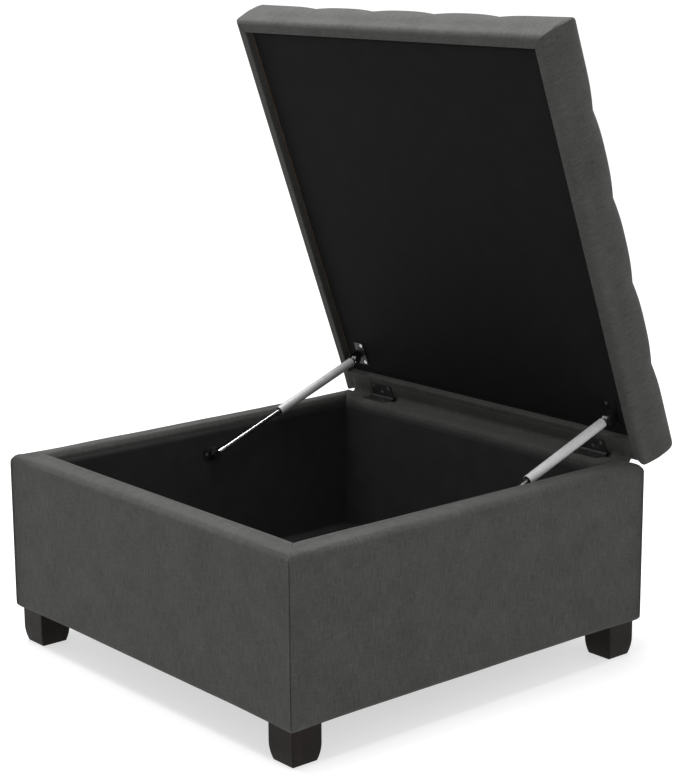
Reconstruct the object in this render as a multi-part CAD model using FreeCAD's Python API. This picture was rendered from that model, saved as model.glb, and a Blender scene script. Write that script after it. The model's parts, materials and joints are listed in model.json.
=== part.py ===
"""Square lift-top storage ottoman with its padded lid held open by two gas struts.

Millimetres, +Z up, the floor at Z = 0, the hinge side at +Y and the front at -Y. Everything is drawn
about the centre of the box's footprint and shifted by ORIGIN_SHIFT_Y on export, so that the origin
lies on the floor under the middle of the ottoman as it stands with its lid open.
The lid and its hardware are drawn closed, then turned open about the hinge pins.
Inset means the distance inwards from an outer face of the box.
"""
import FreeCAD, Part
import math
import os

from FreeCAD import Vector

# ---------------------------------------------------------------- driving dimensions
SIDE = 820.0            # outer width and depth of the upholstered box and of the lid
FOOT_HEIGHT = 66.0      # floor to the underside of the box
RIM_Z = 360.0           # top of the padded rim
WALL = 50.0             # whole wall: fabric, foam, rail, panel and lining
LID_GAP = 4.0           # closed lid above the rim, filled by the two hinge leaves
LID_HEIGHT = 88.0
OPEN_ANGLE = 70.0       # lid angle when the struts are fully out
ORIGIN_SHIFT_Y = -41.3  # half of what the open lid reaches out behind the box

# ---------------------------------------------------------------- upholstery and timber
FABRIC = 2.0            # upholstery fabric with its backing
FOAM_SKIN = 10.0        # foam over the top rail and over the rim
BOTTOM_BOARD = 15.0
PANEL = 15.0
LINING = 2.0
RAIL_HEIGHT = 45.0
RIM_FOLD = 22.0         # how far the fabric folds down inside the rim, and in under the box
RIM_OUTER_RADIUS = 14.0
RIM_INNER_RADIUS = 8.0
BOTTOM_RADIUS = 5.0
OVERCUT = 5.0           # how far a cutting tool runs past what it cuts
COINCIDENT = 1e-6       # points nearer to each other than this are one point

HALF = SIDE / 2
BOARD_Z = FOOT_HEIGHT + FABRIC             # underside of the bottom board
FLOOR_Z = BOARD_Z + BOTTOM_BOARD           # top of the bottom board
FRAME_TOP = RIM_Z - FABRIC - FOAM_SKIN     # top of the panels and rails
RAIL_INSET = FABRIC + FOAM_SKIN
PANEL_INSET = WALL - LINING - PANEL
LINING_INSET = WALL - LINING
RAIL_Z = FRAME_TOP - RAIL_HEIGHT
FOLD_Z = RIM_Z - RIM_FOLD                  # lower edge of the fabric inside the rim

# ---------------------------------------------------------------- feet
FOOT_TOP = 62.0
FOOT_BOTTOM = 51.0
FOOT_STRAIGHT = 34.0    # plain upper part, above the curved taper
FOOT_BULGE_HEIGHT = 0.45     # a point of the curve, as a share of the taper's height
FOOT_BULGE_SHARE = 0.7       # and of the way from the bottom's half width to the top's
FOOT_INSET = 39.0       # foot axis from both outer faces
FOOT_EDGE_RADIUS = 2.0
FOOT_BOLT_RADIUS = 4.0
FOOT_BOLT_DEPTH = 30.0
TNUT_FLANGE_RADIUS = 11.0
TNUT_FLANGE = 1.5
TNUT_BARREL_RADIUS = 5.5
TNUT_BARREL_START = 1.0

# ---------------------------------------------------------------- lid
LID_Z = RIM_Z + LID_GAP
LID_RAIL = 13.5         # height of the rails under the lid board
LID_BOARD = 12.0
LID_LINING = 1.5
LID_BORDER = 22.0       # fabric border round the recess under the lid
LID_HINGE_BORDER = 45.0
LID_TOP_RADIUS = 22.0
LID_LOWER_RADIUS = 6.0
LID_HINGE_RADIUS = 12.0  # lower edge along the hinges, rounder so that it clears the knuckles
LID_BOARD_Z = LID_Z + FABRIC + LID_RAIL
LID_TOP_Z = LID_Z + LID_HEIGHT
TUFT_ROWS = 4
TUFT_PITCH = SIDE / (TUFT_ROWS + 1)
TUFT_DEPTH = 16.0
TUFT_MOUTH_RADIUS = 30.0
TUFT_FLOOR_RADIUS = 11.0
BUTTON_RADIUS = 9.0
BUTTON_HEIGHT = 5.0
BUTTON_EDGE_RADIUS = 3.0

# ---------------------------------------------------------------- hinges
HINGE_Y = HALF - 3.0
HINGE_Z = RIM_Z + LID_GAP / 2
HINGE_X = 293.0         # middle of each hinge from the middle of the box
HINGE_LENGTH = 63.0
LEAF_WIDTH = 30.0
LEAF = 1.6
KNUCKLES = 5
KNUCKLE_RADIUS = 3.5
KNUCKLE_GAP = 0.4
PIN_RADIUS = 1.5
PIN_CLEARANCE = 0.05
LEAF_SCREWS = ((-22.0, 24.0), (0.0, 13.0), (22.0, 24.0))  # along the hinge, away from the pin

# ---------------------------------------------------------------- hinge flap
FLAP = 1.0              # fabric strip that closes the gap along the hinges
FLAP_HALF_LENGTH = 380.0
FLAP_WIDTH = 33.0       # each half, from the pins
FLAP_TO_KNUCKLE = 1.0

# ---------------------------------------------------------------- screws
SCREW_RADIUS = 1.75
SCREW_HEAD_RADIUS = 3.6
SCREW_HEAD = 1.6
CROSS_SPAN = 4.0        # cross recess in each head
CROSS_WIDTH = 0.9
CROSS_DEPTH = 1.0
HINGE_SCREW_LENGTH = 26.0
BRACKET_SCREW_LENGTH = 13.0

# ---------------------------------------------------------------- gas struts
STRUT_X = 348.0         # plane of both ball joints, from the middle of the box
WALL_PIVOT = (15.0, 299.0)   # Y and Z of the ball on the wall
LID_PIVOT_REACH = 81.0  # ball on the lid, from the hinge pin along the lid
LID_PIVOT_DROP = 2.0    # and below the lid's underside
BALL_RADIUS = 5.0
BALL_CLEARANCE = 0.05
STUD_RADIUS = 2.5
STUD_FLANGE_RADIUS = 5.0
STUD_FLANGE = 1.5
SOCKET_RADIUS = 8.0
SOCKET_MOUTH_RADIUS = 4.7
SOCKET_BACK = 6.5       # socket beyond the ball's centre, towards the middle of the box
SOCKET_FRONT = 5.5      # and towards its bracket
SHANK_RADIUS = 5.0
SHANK_START = 6.0
SHANK_END = 22.0
THREAD_RADIUS = 3.0
THREAD_LENGTH = 10.0
ROD_RADIUS = 4.0
TUBE_RADIUS = 9.0
TUBE_BORE = 8.0
TUBE_START = 172.0      # along the strut from the ball on the wall, with the lid open
TUBE_CAP = 4.0
TUBE_SHANK_END = 14.0   # length of the socket's shank at the tube's end
GLAND_LENGTH = 12.0
GLAND_CLEARANCE = 0.05
PISTON_LENGTH = 10.0
PISTON_CLEARANCE = 0.07
PISTON_GAP = 1.0        # piston short of the gland when the strut is fully out
OPEN_JOINT_GAP = 0.3    # lid stud short of its bracket, where the linkage is opened
BRACKET = 2.0           # bracket plate
WALL_PLATE = (44.0, 24.0)    # along Y and Z
WALL_PLATE_CORNER = 9.6
WALL_SCREW_SPACING = 30.0
TAB_WIDTH = 20.0
TAB_CORNER = 8.0
LID_PLATE_START = -20.0      # base plate of the lid bracket along the lid, from its ball
LID_PLATE_END = 30.0
LID_PLATE_INNER = 332.0      # its edge nearest the middle of the box
LID_SCREWS = (-14.0, 24.0)   # screws along the lid, from the ball
LID_SCREW_X = 339.0
WALL_STUD = HALF - WALL - BRACKET - STRUT_X  # from the bracket plate to the ball's centre
TAB_TO_WALL = 0.6            # room between the tab and the lining when the lid is down
LID_STUD = WALL_STUD - TAB_TO_WALL

SIDES = ("front", "right", "back", "left")
HANDS = (("left", -1.0), ("right", 1.0))
X_AXIS = Vector(1, 0, 0)
Z_AXIS = Vector(0, 0, 1)


# ---------------------------------------------------------------- helpers
def box(x0, x1, y0, y1, z0, z1):
    return Part.makeBox(x1 - x0, y1 - y0, z1 - z0, Vector(x0, y0, z0))


def square_slab(half, z0, z1):
    return box(-half, half, -half, half, z0, z1)


def arc(start, centre, radius, end):
    """Arc edge between two points round a centre, the short way."""
    middle = (start + end) * 0.5 - centre
    return Part.Arc(start, centre + middle.normalize() * radius, end).toShape()


def rounded_outline(points):
    """Closed wire in the YZ plane through (y, z, radius) corners, each rounded by its radius."""
    corners = [Vector(0, y, z) for y, z, _ in points]
    edges = []
    starts, ends = [], []
    for i, (_, _, radius) in enumerate(points):
        corner = corners[i]
        before = (corners[i - 1] - corner).normalize()
        after = (corners[(i + 1) % len(corners)] - corner).normalize()
        half_angle = before.getAngle(after) / 2
        reach = radius / math.tan(half_angle) if radius else 0.0
        starts.append(corner + before * reach)
        ends.append(corner + after * reach)
        if radius:
            inward = (before + after).normalize()
            centre = corner + inward * (radius / math.sin(half_angle))
            edges.append(arc(starts[i], centre, radius, ends[i]))
        else:
            edges.append(None)
    wire = []
    for i, edge in enumerate(edges):
        if edge:
            wire.append(edge)
        following = starts[(i + 1) % len(corners)]
        if ends[i].distanceToPoint(following) > COINCIDENT:
            wire.append(Part.makeLine(ends[i], following))
    return Part.Wire(wire)


def extrude_x(wire, x0, x1):
    face = Part.Face(wire)
    face.translate(Vector(x0, 0, 0))
    return face.extrude(Vector(x1 - x0, 0, 0))


def front_wedge(z0, z1):
    """The quarter of the plan that belongs to the front side, up to the 45 degree mitres."""
    reach = HALF + OVERCUT
    middle = Vector(0, 0, z0)
    outline = [middle, Vector(-reach, -reach, z0), Vector(reach, -reach, z0), middle]
    return Part.Face(Part.makePolygon(outline)).extrude(Vector(0, 0, z1 - z0))


def turned(shape, side):
    """A copy of a front-side shape, turned about the vertical to another side."""
    copy = shape.copy()
    copy.rotate(Vector(0, 0, 0), Z_AXIS, 90.0 * SIDES.index(side))
    return copy


def mitred(points):
    """Front side of a ring with the given (inset, z, radius) section and mitred ends."""
    wire = rounded_outline([(inset - HALF, z, radius) for inset, z, radius in points])
    heights = [z for _, z, _ in points]
    wedge = front_wedge(min(heights) - OVERCUT, max(heights) + OVERCUT)
    return extrude_x(wire, -HALF, HALF).common(wedge)


def cylinder(radius, start, direction, length):
    return Part.makeCylinder(radius, length, start, direction)


def opened(shape):
    """A copy of a lid shape, turned from closed to open about the hinge pins."""
    copy = shape.copy()
    copy.rotate(Vector(0, HINGE_Y, HINGE_Z), X_AXIS, -OPEN_ANGLE)
    return copy


def handed(shape, sign):
    """The strut hardware is drawn for the left side and mirrored for the right one."""
    return shape if sign < 0 else shape.mirror(Vector(0, 0, 0), X_AXIS)


def screw_hole(point, direction, length):
    """Countersunk hole that a wood screw fills, from point along direction."""
    head = Part.makeCone(SCREW_HEAD_RADIUS, SCREW_RADIUS, SCREW_HEAD, point, direction)
    return head.fuse(cylinder(SCREW_RADIUS, point, direction, length)).removeSplitter()


def screw(point, direction, length):
    """Countersunk wood screw with a cross recess in its head, which is flush at point."""
    span, width = CROSS_SPAN / 2, CROSS_WIDTH / 2
    cross = box(-span, span, -width, width, 0, CROSS_DEPTH).fuse(
        box(-width, width, -span, span, 0, CROSS_DEPTH))
    cross.Placement = FreeCAD.Placement(point, FreeCAD.Rotation(Z_AXIS, direction))
    return screw_hole(point, direction, length).cut(cross)


def grid(pitch, count):
    """Centred, evenly spaced positions."""
    return [pitch * (i - (count - 1) / 2) for i in range(count)]


# ---------------------------------------------------------------- box: frame and upholstery
def bottom_board():
    return square_slab(HALF - RAIL_INSET, BOARD_Z, FLOOR_Z)


def side_panel(side):
    """Panels stand on the bottom board; the front and back ones run past the ends of the others."""
    outer = HALF - PANEL_INSET
    inner = outer - PANEL
    reach = outer if side in ("front", "back") else inner
    return turned(box(-reach, reach, -outer, -inner, FLOOR_Z, FRAME_TOP), side)


def top_rail(side):
    outer = HALF - RAIL_INSET
    inner = HALF - PANEL_INSET
    reach = outer if side in ("front", "back") else inner
    return turned(box(-reach, reach, -outer, -inner, RAIL_Z, FRAME_TOP), side)


def foam_section():
    """Thick foam below the rail, a skin of foam over the rail and over the rim."""
    return [
        (FABRIC, BOARD_Z, BOTTOM_RADIUS - FABRIC),
        (RAIL_INSET, BOARD_Z, 0),
        (RAIL_INSET, FLOOR_Z, 0),
        (PANEL_INSET, FLOOR_Z, 0),
        (PANEL_INSET, RAIL_Z, 0),
        (RAIL_INSET, RAIL_Z, 0),
        (RAIL_INSET, FRAME_TOP, 0),
        (LINING_INSET, FRAME_TOP, 0),
        (LINING_INSET, RIM_Z - FABRIC, RIM_INNER_RADIUS - FABRIC),
        (FABRIC, RIM_Z - FABRIC, RIM_OUTER_RADIUS - FABRIC),
    ]


def cover_section():
    """Fabric from under the box, up the outside, over the rim and down inside it."""
    return [
        (0, FOOT_HEIGHT, BOTTOM_RADIUS),
        (RIM_FOLD, FOOT_HEIGHT, 0),
        (RIM_FOLD, BOARD_Z, 0),
        (FABRIC, BOARD_Z, BOTTOM_RADIUS - FABRIC),
        (FABRIC, RIM_Z - FABRIC, RIM_OUTER_RADIUS - FABRIC),
        (LINING_INSET, RIM_Z - FABRIC, RIM_INNER_RADIUS - FABRIC),
        (LINING_INSET, FOLD_Z, 0),
        (WALL, FOLD_Z, 0),
        (WALL, RIM_Z, RIM_INNER_RADIUS),
        (0, RIM_Z, RIM_OUTER_RADIUS),
    ]


def base_foam():
    slab = mitred(foam_section())
    return Part.makeCompound([turned(slab, side) for side in SIDES])


def storage_lining():
    """Sewn black liner of the storage space: four walls and a floor."""
    outside = square_slab(HALF - LINING_INSET, FLOOR_Z, FOLD_Z)
    inside = square_slab(HALF - WALL, FLOOR_Z + LINING, FOLD_Z + OVERCUT)
    return outside.cut(inside)


def dust_cover():
    return square_slab(HALF - RIM_FOLD, FOOT_HEIGHT, BOARD_Z)


# ---------------------------------------------------------------- feet
def foot_centres():
    reach = HALF - FOOT_INSET
    return {
        "front_left": Vector(-reach, -reach, 0),
        "front_right": Vector(reach, -reach, 0),
        "back_left": Vector(-reach, reach, 0),
        "back_right": Vector(reach, reach, 0),
    }


def foot(centre):
    """Square block, straight at the top and drawn in by a curve below, the same on all four faces."""
    top, bottom = FOOT_TOP / 2, FOOT_BOTTOM / 2
    bend = FOOT_HEIGHT - FOOT_STRAIGHT
    bulge = bottom + (top - bottom) * FOOT_BULGE_SHARE
    right = [Vector(0, bottom, 0), Vector(0, bulge, bend * FOOT_BULGE_HEIGHT), Vector(0, top, bend)]
    left = [Vector(0, -point.y, point.z) for point in right]
    wire = Part.Wire([
        Part.Arc(*right).toShape(),
        Part.makeLine(right[-1], Vector(0, top, FOOT_HEIGHT)),
        Part.makeLine(Vector(0, top, FOOT_HEIGHT), Vector(0, -top, FOOT_HEIGHT)),
        Part.makeLine(Vector(0, -top, FOOT_HEIGHT), left[-1]),
        Part.Arc(left[-1], left[1], left[0]).toShape(),
        Part.makeLine(left[0], right[0]),
    ])
    along_x = extrude_x(wire, -top, top)
    along_y = along_x.copy()
    along_y.rotate(Vector(0, 0, 0), Z_AXIS, 90)
    block = along_x.common(along_y).removeSplitter()
    uprights = [edge for edge in block.Edges if edge.BoundBox.ZLength > OVERCUT]
    block = block.makeFillet(FOOT_EDGE_RADIUS, uprights)
    block.translate(centre)
    return block


def foot_bolt(centre):
    """Hanger bolt from inside the foot up to the top of the bottom board."""
    start = FOOT_HEIGHT - FOOT_BOLT_DEPTH
    return cylinder(FOOT_BOLT_RADIUS, centre + Vector(0, 0, start), Z_AXIS, FLOOR_Z - start)


def foot_t_nut(centre):
    flange_z = FLOOR_Z - TNUT_FLANGE
    barrel_z = BOARD_Z + TNUT_BARREL_START
    flange = cylinder(TNUT_FLANGE_RADIUS, centre + Vector(0, 0, flange_z), Z_AXIS, TNUT_FLANGE)
    barrel = cylinder(TNUT_BARREL_RADIUS, centre + Vector(0, 0, barrel_z), Z_AXIS, flange_z - barrel_z)
    return flange.fuse(barrel).cut(foot_bolt(centre))


# ---------------------------------------------------------------- lid
def lid_outline(offset):
    """The lid's closed outer form, drawn in by offset: one rounded section crossed with another."""
    half = HALF - offset
    low, high = LID_Z + offset, LID_TOP_Z - offset

    def section(back_radius):
        wire = rounded_outline([
            (-half, low, LID_LOWER_RADIUS - offset),
            (half, low, back_radius - offset),
            (half, high, LID_TOP_RADIUS - offset),
            (-half, high, LID_TOP_RADIUS - offset),
        ])
        return extrude_x(wire, -half, half)

    depthwise = section(LID_HINGE_RADIUS)
    widthwise = section(LID_LOWER_RADIUS)
    widthwise.rotate(Vector(0, 0, 0), Z_AXIS, 90)
    return depthwise.common(widthwise)


def lid_recess(border, top):
    """The shallow space under the lid, inside a border that is wider along the hinges."""
    reach = HALF - border
    hinge_reach = reach - (LID_HINGE_BORDER - LID_BORDER)
    return box(-reach, reach, -reach, hinge_reach, LID_Z - OVERCUT, top)


def tuft_pits(depth, spread):
    """Cones that sink the tufts into the top, one at each crossing of the grid."""
    slope = (TUFT_MOUTH_RADIUS - TUFT_FLOOR_RADIUS) / TUFT_DEPTH
    floor_radius = TUFT_FLOOR_RADIUS + spread
    height = depth + OVERCUT
    pits = []
    for x in grid(TUFT_PITCH, TUFT_ROWS):
        for y in grid(TUFT_PITCH, TUFT_ROWS):
            floor = Vector(x, y, LID_TOP_Z - depth)
            pits.append(Part.makeCone(floor_radius, floor_radius + slope * height, height, floor))
    return pits


def lid_filling():
    """Everything inside the lid's cover: the foam's space above, the timber's space below."""
    inside = lid_outline(FABRIC).cut(tuft_pits(TUFT_DEPTH + FABRIC, FABRIC))
    return inside.cut(lid_recess(LID_BORDER - FABRIC, LID_BOARD_Z))


def lid_cover(filling):
    """One piece of fabric over the top, down the sides and in under the border, sewn at the corners."""
    outside = lid_outline(0).cut(tuft_pits(TUFT_DEPTH, 0))
    return outside.cut(filling).cut(lid_recess(LID_BORDER, LID_BOARD_Z))


def lid_board(filling):
    board = square_slab(HALF - FABRIC, LID_BOARD_Z, LID_BOARD_Z + LID_BOARD)
    return board.common(filling)


def lid_rail(side, filling):
    """Rails under the lid board; the ones along the sides run the whole depth."""
    reach = HALF - (FABRIC if side in ("left", "right") else LID_BORDER - FABRIC)
    width = LID_HINGE_BORDER if side == "back" else LID_BORDER
    rail = box(-reach, reach, -HALF + FABRIC, -HALF + width - FABRIC, LID_Z, LID_BOARD_Z)
    return turned(rail, side).common(filling)


def lid_foam(filling):
    above = square_slab(HALF, LID_BOARD_Z + LID_BOARD, LID_TOP_Z)
    return filling.common(above)


def lid_lining():
    """Black fabric panel inside the recess, stapled to the underside of the lid board."""
    sheet = square_slab(HALF, LID_BOARD_Z - LID_LINING, LID_BOARD_Z)
    return sheet.common(lid_recess(LID_BORDER, LID_BOARD_Z))


def tuft_buttons():
    """Domed buttons that sit on the floors of the tuft pits."""
    disc = Part.makeCylinder(BUTTON_RADIUS, BUTTON_HEIGHT)
    top_edge = [edge for edge in disc.Edges if edge.BoundBox.ZMin > BUTTON_HEIGHT / 2]
    button = disc.makeFillet(BUTTON_EDGE_RADIUS, top_edge)
    buttons = []
    for x in grid(TUFT_PITCH, TUFT_ROWS):
        for y in grid(TUFT_PITCH, TUFT_ROWS):
            copy = button.copy()
            copy.translate(Vector(x, y, LID_TOP_Z - TUFT_DEPTH))
            buttons.append(copy)
    return Part.makeCompound(buttons)


# ---------------------------------------------------------------- hinges
def knuckle_spans(first):
    """(start, end) along the hinge of every second knuckle, from the first or the second on."""
    pitch = HINGE_LENGTH / KNUCKLES
    return [(i * pitch + KNUCKLE_GAP / 2, (i + 1) * pitch - KNUCKLE_GAP / 2)
            for i in range(first, KNUCKLES, 2)]


def barrel(start_x, spans, radius):
    return [cylinder(radius, Vector(start_x + a, HINGE_Y, HINGE_Z), X_AXIS, b - a) for a, b in spans]


def hinge_leaf(sign, upper):
    """One leaf of a butt hinge, drawn closed: upper leaf under the lid, lower leaf on the rim."""
    start_x = sign * HINGE_X - HINGE_LENGTH / 2
    own = knuckle_spans(1 if upper else 0)
    other = knuckle_spans(0 if upper else 1)
    low = LID_Z - LEAF if upper else RIM_Z
    end_x = start_x + HINGE_LENGTH
    plate = box(start_x, end_x, HINGE_Y - LEAF_WIDTH, HINGE_Y - PIN_RADIUS, low, low + LEAF)
    clearance = [(a - KNUCKLE_GAP, b + KNUCKLE_GAP) for a, b in other]
    leaf = plate.cut(barrel(start_x, clearance, KNUCKLE_RADIUS + KNUCKLE_GAP))
    leaf = leaf.fuse(barrel(start_x, own, KNUCKLE_RADIUS)).removeSplitter()
    bore = PIN_RADIUS + (PIN_CLEARANCE if upper else 0)
    leaf = leaf.cut(barrel(start_x, [(-OVERCUT, HINGE_LENGTH + OVERCUT)], bore))
    return leaf


def hinge_pin(sign):
    start_x = sign * HINGE_X - HINGE_LENGTH / 2
    return barrel(start_x, [(0, HINGE_LENGTH)], PIN_RADIUS)[0]


def hinge_screws(sign, upper):
    """Point, direction and length of each screw of one leaf, with its head flush in the visible face."""
    face_z = LID_Z - LEAF if upper else RIM_Z + LEAF
    direction = Z_AXIS if upper else Z_AXIS * -1
    length = LID_RAIL if upper else HINGE_SCREW_LENGTH
    return [(Vector(sign * HINGE_X + along, HINGE_Y - away, face_z), direction, length)
            for along, away in LEAF_SCREWS]


def hinge_flap(upper):
    """Half of the fabric strip between box and lid, glued flat round the hinge leaves of its half."""
    low = LID_Z - FLAP if upper else RIM_Z
    high = low + FLAP
    end = HINGE_Y - KNUCKLE_RADIUS - FLAP_TO_KNUCKLE
    strip = box(-FLAP_HALF_LENGTH, FLAP_HALF_LENGTH, HINGE_Y - FLAP_WIDTH, end, low, high)
    reach = HINGE_LENGTH / 2
    pockets = [box(sign * HINGE_X - reach, sign * HINGE_X + reach, HINGE_Y - LEAF_WIDTH, HALF, low, high)
               for _, sign in HANDS]
    return strip.cut(pockets)


# ---------------------------------------------------------------- strut brackets
def lid_pivot():
    """Ball on the closed lid, as Y and Z."""
    return HINGE_Y - LID_PIVOT_REACH, LID_Z - LID_PIVOT_DROP


def ball_stud(ball, length):
    """Ball with its neck and flange, which reach length from the ball's centre towards -X."""
    root = ball - X_AXIS * length
    neck = cylinder(STUD_RADIUS, root, X_AXIS, length)
    flange = cylinder(STUD_FLANGE_RADIUS, root, X_AXIS, STUD_FLANGE)
    return neck.fuse([flange, Part.makeSphere(BALL_RADIUS, ball)]).removeSplitter()


def wall_bracket(sign):
    """Plate on the lining with a riveted ball stud that points into the box."""
    y, z = WALL_PIVOT
    length, height = WALL_PLATE
    wall_x = HALF - WALL
    outline = rounded_outline([
        (y - length / 2, z - height / 2, WALL_PLATE_CORNER),
        (y + length / 2, z - height / 2, WALL_PLATE_CORNER),
        (y + length / 2, z + height / 2, WALL_PLATE_CORNER),
        (y - length / 2, z + height / 2, WALL_PLATE_CORNER),
    ])
    plate = extrude_x(outline, -wall_x, -wall_x + BRACKET)
    stud = ball_stud(Vector(-STRUT_X, y, z), WALL_STUD)
    return handed(plate.fuse(stud).removeSplitter(), sign)


def wall_bracket_screws(sign):
    y, z = WALL_PIVOT
    face_x = sign * (HALF - WALL - BRACKET)
    return [(Vector(face_x, y + along, z), X_AXIS * sign, BRACKET_SCREW_LENGTH)
            for along in (-WALL_SCREW_SPACING / 2, WALL_SCREW_SPACING / 2)]


def lid_bracket(sign):
    """Angle bracket in the recess of the closed lid: a plate on the lining and a tab beside the ball."""
    y, z = lid_pivot()
    top = LID_BOARD_Z - LID_LINING
    tab_x = -STRUT_X - LID_STUD
    start, end = y - LID_PLATE_END, y - LID_PLATE_START
    outline = rounded_outline([
        (y - TAB_WIDTH / 2, top, 0),
        (y - TAB_WIDTH / 2, z - TAB_WIDTH / 2, TAB_CORNER),
        (y + TAB_WIDTH / 2, z - TAB_WIDTH / 2, TAB_CORNER),
        (y + TAB_WIDTH / 2, top, 0),
    ])
    tab = extrude_x(outline, tab_x - BRACKET, tab_x)
    plate = box(tab_x - BRACKET, -LID_PLATE_INNER, start, end, top - BRACKET, top)
    return handed(tab.fuse(plate).removeSplitter(), sign)


def lid_bracket_screws(sign):
    y, _ = lid_pivot()
    face_z = LID_BOARD_Z - LID_LINING - BRACKET
    return [(Vector(sign * LID_SCREW_X, y - along, face_z), Z_AXIS, BRACKET_SCREW_LENGTH)
            for along in LID_SCREWS]


# ---------------------------------------------------------------- struts
def strut_line():
    """The left strut with the lid open: ball on the wall, direction, and distance to the lid's ball."""
    start = Vector(-STRUT_X, *WALL_PIVOT)
    ball = opened(Part.Vertex(Vector(-STRUT_X, *lid_pivot()))).Point
    along = ball - start
    return start, along.normalize(), start.distanceToPoint(ball)


def ball_socket(centre):
    """A cup round the left strut's ball, and the hollow in it that is open towards the bracket."""
    body = cylinder(SOCKET_RADIUS, centre - X_AXIS * SOCKET_FRONT, X_AXIS, SOCKET_FRONT + SOCKET_BACK)
    mouth = cylinder(SOCKET_MOUTH_RADIUS, centre - X_AXIS * (SOCKET_FRONT + OVERCUT), X_AXIS,
                     SOCKET_FRONT + OVERCUT)
    cavity = Part.makeSphere(BALL_RADIUS + BALL_CLEARANCE, centre)
    return body, mouth.fuse(cavity)


def rod_socket(sign):
    start, along, _ = strut_line()
    body, hollow = ball_socket(start)
    shank = cylinder(SHANK_RADIUS, start + along * SHANK_START, along, SHANK_END - SHANK_START)
    thread = cylinder(THREAD_RADIUS, start + along * (SHANK_END - THREAD_LENGTH), along, THREAD_LENGTH)
    return handed(body.fuse(shank).removeSplitter().cut([hollow, thread]), sign)


def tube_socket(sign):
    start, along, length = strut_line()
    centre = start + along * length
    body, hollow = ball_socket(centre)
    shank = cylinder(SHANK_RADIUS, centre - along * TUBE_SHANK_END, along, TUBE_SHANK_END - SHANK_START)
    thread = cylinder(THREAD_RADIUS, centre - along * TUBE_SHANK_END, along, TUBE_SHANK_END - SOCKET_RADIUS)
    return handed(body.fuse(shank).removeSplitter().cut([hollow, thread]), sign)


def lid_ball_stud(sign):
    start, along, length = strut_line()
    return handed(ball_stud(start + along * length, LID_STUD - OPEN_JOINT_GAP), sign)


def strut_rod(sign):
    start, along, _ = strut_line()
    end = TUBE_START + GLAND_LENGTH + PISTON_GAP + PISTON_LENGTH
    rod = cylinder(ROD_RADIUS, start + along * SHANK_END, along, end - SHANK_END)
    thread = cylinder(THREAD_RADIUS, start + along * (SHANK_END - THREAD_LENGTH), along, THREAD_LENGTH)
    return handed(rod.fuse(thread).removeSplitter(), sign)


def strut_piston(sign):
    start, along, _ = strut_line()
    position = start + along * (TUBE_START + GLAND_LENGTH + PISTON_GAP)
    ring = cylinder(TUBE_BORE - PISTON_CLEARANCE, position, along, PISTON_LENGTH)
    return handed(ring.cut(cylinder(ROD_RADIUS, position, along, PISTON_LENGTH)), sign)


def strut_tube(sign):
    start, along, length = strut_line()
    end = length - TUBE_SHANK_END
    tube = cylinder(TUBE_RADIUS, start + along * TUBE_START, along, end - TUBE_START)
    bore_start = TUBE_START - OVERCUT
    bore = cylinder(TUBE_BORE, start + along * bore_start, along, end - TUBE_CAP - bore_start)
    thread = cylinder(THREAD_RADIUS, start + along * end, along, TUBE_SHANK_END - SOCKET_RADIUS)
    return handed(tube.cut(bore).fuse(thread).removeSplitter(), sign)


def strut_gland(sign):
    start, along, _ = strut_line()
    position = start + along * TUBE_START
    gland = cylinder(TUBE_BORE, position, along, GLAND_LENGTH)
    bore = cylinder(ROD_RADIUS + GLAND_CLEARANCE, position, along, GLAND_LENGTH)
    return handed(gland.cut(bore), sign)


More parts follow.
